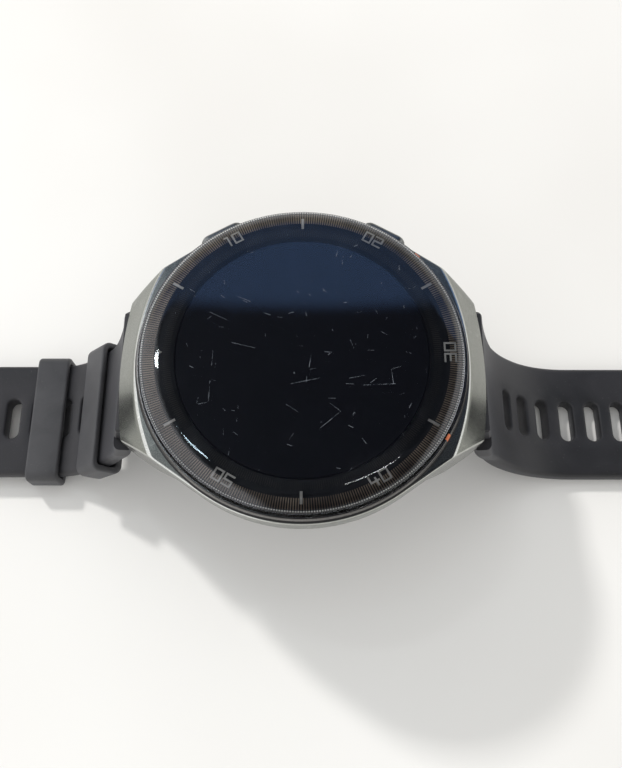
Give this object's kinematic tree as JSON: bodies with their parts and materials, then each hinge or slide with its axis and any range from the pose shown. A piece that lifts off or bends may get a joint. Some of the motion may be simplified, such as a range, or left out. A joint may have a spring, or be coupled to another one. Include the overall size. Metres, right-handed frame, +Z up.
{
  "type": "smartwatch",
  "caption": "Round sports smartwatch with a glass dial, printed minute ring, side push buttons and an open perforated rubber strap with a pin buckle.",
  "frame": {"origin": "on the dial axis, at the outer face of the heart-rate window on the back", "axes": "+Z up through the display, +X towards 6 o'clock and the long strap half, +Y towards 3 o'clock and the push buttons"},
  "size_m": [0.2355, 0.0468, 0.0344],
  "materials": {
    "case_steel": "bead-blasted deck, satin flanks",
    "bezel_steel": "polished gunmetal",
    "mark_paint": "orange inlay",
    "seal_rubber": "black nitrile",
    "gasket": "black adhesive ring",
    "cover_glass": "clear, finely scratched",
    "scale_print": "black ring with printed minute scale",
    "display": "dark OLED panel, off",
    "flex": "polyimide flex",
    "chassis": "black glass-filled nylon",
    "circuit_board": "green solder mask",
    "shield_tin": "tinned sheet",
    "chip_resin": "black epoxy",
    "gold_contact": "gold plated",
    "battery_wrap": "foil pouch",
    "motor_steel": "plain",
    "rear_plastic": "fine matt black",
    "membrane": "white vent film",
    "steel_hardware": "bright turned steel",
    "sensor_glass": "dark tinted window",
    "led_lens": "clear epoxy",
    "button_steel": "satin",
    "strap_rubber": "matt black fluoroelastomer",
    "buckle_steel": "dark satin"
  },
  "bodies": {
    "case": {"case_body": "case_steel", "bezel_ring": "bezel_steel", "bezel_marks": "mark_paint", "bezel_seal": "seal_rubber", "glass_gasket": "gasket", "cover_glass": "cover_glass", "scale_ring": "scale_print", "display_panel": "display", "display_flex": "flex", "inner_frame": "chassis", "main_board": "circuit_board", "shield_cans": "shield_tin", "board_chips": "chip_resin", "antenna_ring": "gold_contact", "battery": "battery_wrap", "battery_lead": "flex", "vibration_motor": "motor_steel", "rear_cover": "rear_plastic", "vent_membrane": "membrane", "rear_seal": "seal_rubber", "rear_screws": "steel_hardware", "charging_contacts": "gold_contact", "sensor_window": "sensor_glass", "light_baffle": "chassis", "photodiodes": "chip_resin", "sensor_leds": "led_lens", "sensor_board": "circuit_board", "button_seal_upper": "seal_rubber", "button_seal_lower": "seal_rubber", "button_spring_upper": "steel_hardware", "button_spring_lower": "steel_hardware", "button_switch_upper": "chip_resin", "button_switch_lower": "chip_resin", "button_flex": "flex"},
    "upper_button": {"button_upper": "button_steel", "button_clip_upper": "steel_hardware"},
    "lower_button": {"button_lower": "button_steel", "button_clip_lower": "steel_hardware"},
    "strap_long": {"strap_long": "strap_rubber", "bar_tube_long": "steel_hardware", "bar_tip_long": "steel_hardware", "bar_spring_long": "steel_hardware"},
    "release_long": {"release_pin_long": "steel_hardware"},
    "strap_short": {"strap_short": "strap_rubber", "bar_tube_short": "steel_hardware", "bar_tip_short": "steel_hardware", "bar_spring_short": "steel_hardware"},
    "release_short": {"release_pin_short": "steel_hardware"},
    "outer_keeper": {"keeper_outer": "strap_rubber"},
    "inner_keeper": {"keeper_inner": "strap_rubber"},
    "buckle": {"buckle_frame": "buckle_steel", "buckle_bar": "steel_hardware"},
    "tongue": {"buckle_tongue": "buckle_steel"}
  },
  "joints": [
    {"name": "upper_button_press", "type": "slide", "parent": "case", "child": "upper_button", "axis": [0.5, -0.866, 0], "range_m": [0, 0.00045], "stiffness_N_per_m": 800, "springref_m": -0.0006, "deforming": ["button_spring_upper"]},
    {"name": "lower_button_press", "type": "slide", "parent": "case", "child": "lower_button", "axis": [-0.5, -0.866, 0], "range_m": [0, 0.00045], "stiffness_N_per_m": 800, "springref_m": -0.0006, "deforming": ["button_spring_lower"]},
    {"name": "strap_long_swing", "type": "hinge", "parent": "case", "child": "strap_long", "pos_m": [0.0239, 0, 0.0024], "axis": [0, 1, 0], "range_deg": [0, 55]},
    {"name": "strap_short_swing", "type": "hinge", "parent": "case", "child": "strap_short", "pos_m": [-0.0239, 0, 0.0024], "axis": [0, -1, 0], "range_deg": [0, 55]},
    {"name": "release_long_slide", "type": "slide", "parent": "strap_long", "child": "release_long", "axis": [0, -1, 0], "range_m": [0, 0.0012], "stiffness_N_per_m": 200, "springref_m": -0.001, "deforming": ["bar_spring_long"]},
    {"name": "release_short_slide", "type": "slide", "parent": "strap_short", "child": "release_short", "axis": [0, -1, 0], "range_m": [0, 0.0012], "stiffness_N_per_m": 200, "springref_m": -0.001, "deforming": ["bar_spring_short"]},
    {"name": "outer_keeper_slide", "type": "slide", "parent": "strap_short", "child": "outer_keeper", "axis": [-1, 0, 0], "range_m": [0, 0.038]},
    {"name": "inner_keeper_slide", "type": "hinge", "parent": "strap_short", "child": "inner_keeper", "pos_m": [-0.05042, 0, 0.00212], "axis": [0, -1, 0], "range_deg": [0, 6]},
    {"name": "buckle_swing", "type": "hinge", "parent": "strap_short", "child": "buckle", "pos_m": [-0.09138, 0, -0.0201], "axis": [0, 1, 0], "range_deg": [-60, 60]},
    {"name": "tongue_swing", "type": "hinge", "parent": "buckle", "child": "tongue", "pos_m": [-0.09138, 0, -0.0201], "axis": [0, 1, 0], "range_deg": [0, 50]}
  ]
}
